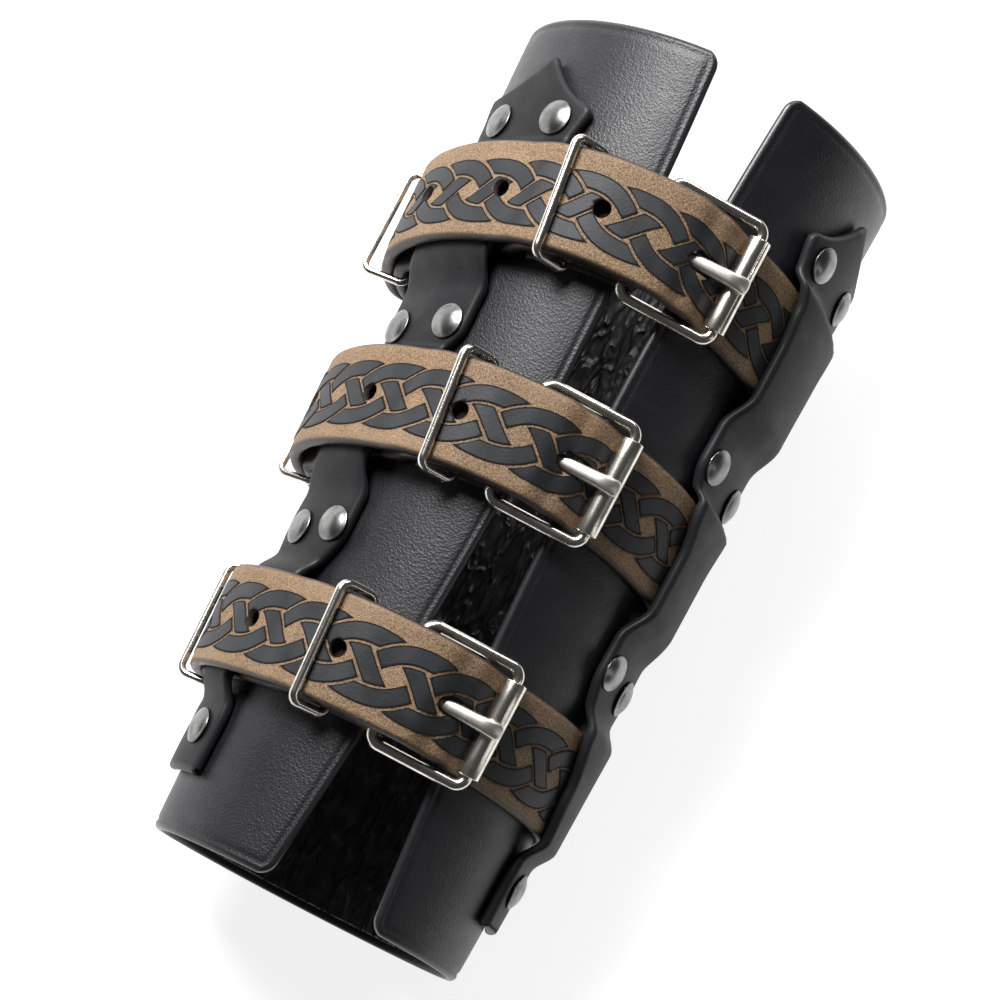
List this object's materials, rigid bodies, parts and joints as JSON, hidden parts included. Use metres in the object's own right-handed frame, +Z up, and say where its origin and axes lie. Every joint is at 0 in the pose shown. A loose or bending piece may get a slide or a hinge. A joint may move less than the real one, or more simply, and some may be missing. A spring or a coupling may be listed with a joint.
{
  "type": "leather bracer",
  "caption": "Black leather forearm bracer, a rolled shell open along the front, closed by buckled brown straps with keeper rings under riveted side bands.",
  "frame": {"origin": "middle of the underside, on the surface the bracer lies on; at rest it lies on its back with the buckles up", "axes": "+Z up through the buckles, +Y along the arm towards the elbow end, +X across towards the rollers"},
  "size_m": [0.1193, 0.23, 0.0995],
  "materials": {
    "black_leather": "smooth black leather with burnished edges",
    "lining_leather": "crinkled glossy black leather",
    "band_leather": "smooth matt black leather with bevelled edges",
    "brown_leather": "brown leather with a black interlace and dark edges",
    "nickel": "bright nickel wire",
    "nickel_roller": "nickel with a light haze and fine scratches",
    "pewter": "aged pewter"
  },
  "bodies": {
    "bracer": {"shell": "black_leather", "lining": "lining_leather", "left_band": "band_leather", "right_band": "band_leather", "left_rivets": "pewter", "right_rivets": "pewter", "left_rivet_caps": "pewter", "right_rivet_caps": "pewter", "elbow_strap": "brown_leather", "middle_strap": "brown_leather", "wrist_strap": "brown_leather", "fold_rivets": "pewter"},
    "elbow_buckle": {"elbow_frame": "nickel"},
    "elbow_tube": {"elbow_roller": "nickel_roller"},
    "elbow_tongue": {"elbow_prong": "nickel"},
    "elbow_keeper": {"elbow_keeper_ring": "nickel"},
    "elbow_loop": {"elbow_side_ring": "nickel"},
    "middle_buckle": {"middle_frame": "nickel"},
    "middle_tube": {"middle_roller": "nickel_roller"},
    "middle_tongue": {"middle_prong": "nickel"},
    "middle_keeper": {"middle_keeper_ring": "nickel"},
    "middle_loop": {"middle_side_ring": "nickel"},
    "wrist_buckle": {"wrist_frame": "nickel"},
    "wrist_tube": {"wrist_roller": "nickel_roller"},
    "wrist_tongue": {"wrist_prong": "nickel"},
    "wrist_keeper": {"wrist_keeper_ring": "nickel"},
    "wrist_loop": {"wrist_side_ring": "nickel"}
  },
  "joints": [
    {"name": "elbow_frame_hinge", "type": "hinge", "parent": "bracer", "child": "elbow_buckle", "pos_m": [-0.00599, 0.0645, 0.09102], "axis": [0, -0.9946, -0.1038], "range_deg": [0, 4]},
    {"name": "elbow_prong_hinge", "type": "hinge", "parent": "elbow_buckle", "child": "elbow_tongue", "pos_m": [-0.00599, 0.0645, 0.09102], "axis": [0, -0.9946, -0.1038], "range_deg": [0, 3]},
    {"name": "elbow_roller_spin", "type": "hinge", "parent": "elbow_buckle", "child": "elbow_tube", "pos_m": [0.01925, 0.06453, 0.09073], "axis": [0, 0.9946, 0.1038], "continuous": true},
    {"name": "elbow_keeper_slide", "type": "hinge", "parent": "bracer", "child": "elbow_keeper", "pos_m": [0.00416, 0.0634, 0.03575], "axis": [0.1221, -0.9919, -0.0349], "range_deg": [-1.2, 1.5]},
    {"name": "elbow_side_ring_slide", "type": "hinge", "parent": "bracer", "child": "elbow_loop", "pos_m": [-0.02773, 0.05398, 0.03407], "axis": [-0.0041, -0.9839, 0.1784], "range_deg": [-2.5, 5.1]},
    {"name": "middle_frame_hinge", "type": "hinge", "parent": "bracer", "child": "middle_buckle", "pos_m": [-0.0108, 0.0058, 0.08395], "axis": [0, -0.9946, -0.1038], "range_deg": [0, 4]},
    {"name": "middle_prong_hinge", "type": "hinge", "parent": "middle_buckle", "child": "middle_tongue", "pos_m": [-0.0108, 0.0058, 0.08395], "axis": [0, -0.9946, -0.1038], "range_deg": [0, 3]},
    {"name": "middle_roller_spin", "type": "hinge", "parent": "middle_buckle", "child": "middle_tube", "pos_m": [0.0144, 0.00555, 0.08634], "axis": [0, 0.9946, 0.1038], "continuous": true},
    {"name": "middle_keeper_slide", "type": "hinge", "parent": "bracer", "child": "middle_keeper", "pos_m": [0.0035, 0.00494, 0.03165], "axis": [0.1063, -0.9934, -0.0432], "range_deg": [-1.2, 1.6]},
    {"name": "middle_side_ring_slide", "type": "hinge", "parent": "bracer", "child": "middle_loop", "pos_m": [-0.02937, -0.00234, 0.0318], "axis": [-0.0328, -0.9919, 0.1227], "range_deg": [-3.1, 6.2]},
    {"name": "wrist_frame_hinge", "type": "hinge", "parent": "bracer", "child": "wrist_buckle", "pos_m": [-0.00868, -0.0592, 0.07765], "axis": [0, -0.9946, -0.1038], "range_deg": [0, 4]},
    {"name": "wrist_prong_hinge", "type": "hinge", "parent": "wrist_buckle", "child": "wrist_tongue", "pos_m": [-0.00868, -0.0592, 0.07765], "axis": [0, -0.9946, -0.1038], "range_deg": [0, 3]},
    {"name": "wrist_roller_spin", "type": "hinge", "parent": "wrist_buckle", "child": "wrist_tube", "pos_m": [0.01661, -0.05932, 0.0788], "axis": [0, 0.9946, 0.1038], "continuous": true},
    {"name": "wrist_keeper_slide", "type": "hinge", "parent": "bracer", "child": "wrist_keeper", "pos_m": [0.00278, -0.05945, 0.02724], "axis": [0.0641, -0.9957, -0.0674], "range_deg": [-1.3, 1.7]},
    {"name": "wrist_side_ring_slide", "type": "hinge", "parent": "bracer", "child": "wrist_loop", "pos_m": [-0.02659, -0.06112, 0.03043], "axis": [0.0279, -0.9986, 0.0458], "range_deg": [-3.1, 6.1]}
  ]
}
